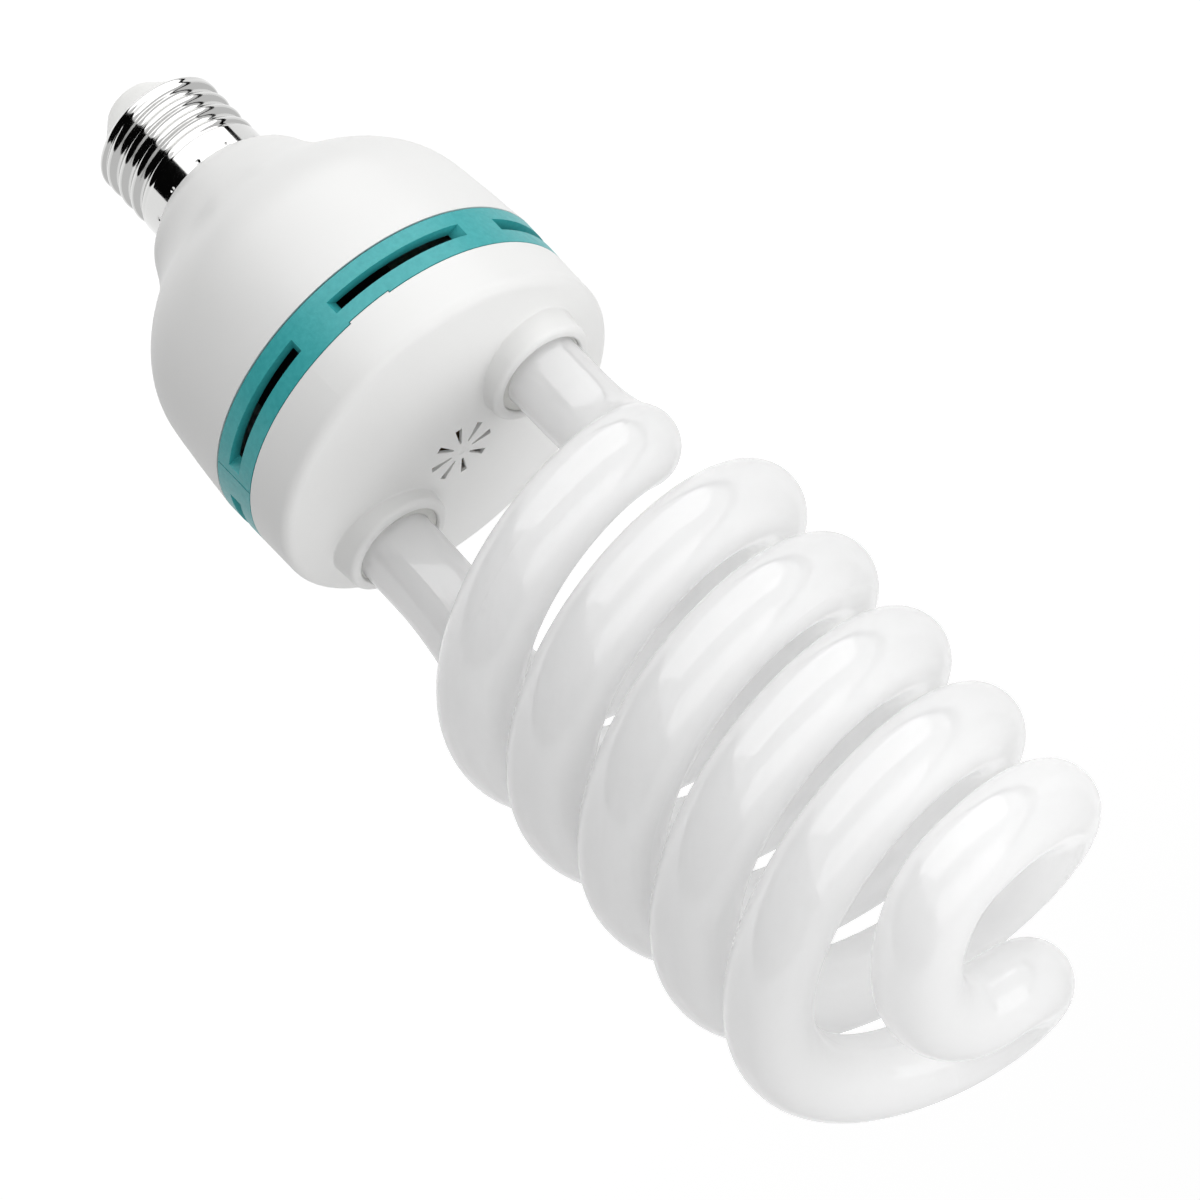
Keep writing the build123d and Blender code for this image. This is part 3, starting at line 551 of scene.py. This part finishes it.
def kinds_of_ray(tree):
    """Two values: 1 for rays from the camera, and 1 for rays off gloss or through glass."""
    path = add(tree, "LightPath", {})
    kinds = {0: path.outputs["Is Glossy Ray"], 1: path.outputs["Is Transmission Ray"]}
    gloss = add(tree, "Math", kinds, operation="MAXIMUM")
    return path.outputs["Is Camera Ray"], gloss.outputs[0]


def painted_floor():
    """Matt white paint, with enough glow to the camera and in gloss to show as a white ground."""
    material, tree = new_material("painted_floor")[:2]
    to_camera, to_gloss = kinds_of_ray(tree)
    seen = add(tree, "Math", {0: to_camera, 1: to_gloss}, operation="MAXIMUM")
    strength = add(tree, "Math", {0: seen.outputs[0], 1: floor_glow}, operation="MULTIPLY")
    glow = add(tree, "Emission", {"Strength": strength.outputs[0]})
    paint = add(tree, "BsdfDiffuse", {"Color": linear(floor_colour)})
    both = add(tree, "AddShader", {0: paint.outputs[0], 1: glow.outputs[0]})
    add(tree, "OutputMaterial", {"Surface": both.outputs[0]})
    return material


def white_room():
    """White all round. Its strength is room_light where it lights the lamp, room_glow more than that in
    gloss, and 1 to the camera."""
    room = bpy.data.worlds.new("studio_room")
    room.use_nodes = True
    tree = room.node_tree
    tree.nodes.clear()
    to_camera, to_gloss = kinds_of_ray(tree)
    shown = {0: to_camera, 1: 1 - room_light, 2: room_light}
    plain = add(tree, "Math", shown, operation="MULTIPLY_ADD")
    mirrored = {0: to_gloss, 1: room_glow, 2: plain.outputs[0]}
    level = add(tree, "Math", mirrored, operation="MULTIPLY_ADD")
    backdrop = add(tree, "Background", {"Color": linear(room_colour), "Strength": level.outputs[0]})
    add(tree, "OutputWorld", {"Surface": backdrop.outputs[0]})
    return room


floor = bpy.data.objects.new("studio_floor", floor_mesh())
floor.data.materials.append(painted_floor())
bpy.context.scene.collection.objects.link(floor)
bpy.context.scene.world = white_room()

# Lamps and cards: two softboxes that the gloss shows, one low and wide and one high, three soft fills that
# it doesn't, and two bent black cards that give the metal its dark bands. The cards show in gloss only.
lamp_middle = Vector((0, 0, 0.13))
softbox_azimuth = 37
softbox_distance = 0.6
fill_elevation = 45
fill_distance = 0.9
fill_size = 0.7
card_distance = 0.5
card_columns = 24
card_rows = 40
card_colour = "#0A0A0A"


def facing_in(azimuth, elevation, distance):
    """Place at a distance from the lamp's middle, at an azimuth from +X and an elevation above the level in
    degrees, turned to face the middle with its top upwards."""
    turn = math.radians(azimuth)
    rise = math.radians(elevation)
    out = Vector((math.cos(turn) * math.cos(rise), math.sin(turn) * math.cos(rise), math.sin(rise)))
    facing = (-out).to_track_quat("-Z", "Y").to_matrix().to_4x4()
    return Matrix.Translation(lamp_middle + out * distance) @ facing


def softbox(name, azimuth, elevation, distance, width, height, radiance):
    """Flat soft lamp facing the lamp's middle. Its power is four times its radiance times its area."""
    light = bpy.data.lights.new(name, "AREA")
    light.shape = "RECTANGLE"
    light.size = width
    light.size_y = height
    light.energy = 4 * radiance * width * height
    box = bpy.data.objects.new(name, light)
    box.matrix_world = facing_in(azimuth, elevation, distance)
    box.visible_camera = False
    bpy.context.scene.collection.objects.link(box)
    return box


def card_mesh(name, left, right, low, high):
    """Card bent round the lamp's middle at a fixed distance, between two azimuths and two elevations in
    degrees: a patch of a ball."""
    turn = np.radians(np.linspace(left, right, card_columns))[None, :]
    rise = np.radians(np.linspace(low, high, card_rows))[:, None]
    ball = [np.cos(rise) * np.cos(turn), np.cos(rise) * np.sin(turn), np.sin(rise) + 0 * turn]
    points = np.array(lamp_middle) + card_distance * np.stack(ball, -1)
    index = np.arange(card_rows * card_columns).reshape(card_rows, card_columns)
    quads = np.stack([index[:-1, :-1], index[1:, :-1], index[1:, 1:], index[:-1, 1:]], -1).reshape(-1, 4)
    mesh = bpy.data.meshes.new(name)
    mesh.from_pydata(points.reshape(-1, 3), [], quads)
    return mesh


def black_paper():
    """Dull black paper."""
    material, tree = new_material("black_paper")[:2]
    paper = add(tree, "BsdfDiffuse", {"Color": linear(card_colour)})
    add(tree, "OutputMaterial", {"Surface": paper.outputs[0]})
    return material


softboxes = (("low_softbox", -28, 0.97, 0.72, 1.05), ("high_softbox", 53, 0.78, 0.37, 0.85))
for name, elevation, width, height, radiance in softboxes:
    softbox(name, softbox_azimuth, elevation, softbox_distance, width, height, radiance)
fills = (("right_fill", -20, 1.4), ("front_fill", 100, 1.0), ("back_fill", 220, 1.15))
for name, azimuth, radiance in fills:
    fill = softbox(name, azimuth, fill_elevation, fill_distance, fill_size, fill_size, radiance)
    fill.visible_glossy = False
cards = (("black_card", 88, 144, -89, 75), ("edge_card", -22, -13, -85, 50))
paper = black_paper()
for name, left, right, low, high in cards:
    card = bpy.data.objects.new(name, card_mesh(name, left, right, low, high))
    card.data.materials.append(paper)
    card.visible_camera = False
    card.visible_diffuse = False
    card.visible_shadow = False
    bpy.context.scene.collection.objects.link(card)

# Camera: a long lens over the lamp's shoulder, rolled so that the cap points to the upper left.
# Its place, aim, roll and lens were fitted to the outlines in the photograph.
camera_place = Vector((0.22074, 0.87967, 0.57602))
camera_aim = Vector((-0.00046, 0.00012, 0.13917))
camera_roll = math.radians(136.37)
camera_lens = 174.126
camera_sensor = 36.0
camera_data = bpy.data.cameras.new("camera")
camera_data.lens = camera_lens
camera_data.sensor_width = camera_sensor
camera = bpy.data.objects.new("camera", camera_data)
camera_turn = (camera_aim - camera_place).to_track_quat("-Z", "Y").to_matrix().to_4x4()
camera.matrix_world = Matrix.Translation(camera_place) @ camera_turn @ Matrix.Rotation(camera_roll, 4, "Z")
bpy.context.scene.collection.objects.link(camera)
bpy.context.scene.camera = camera
bpy.context.scene.view_settings.view_transform = "Standard"
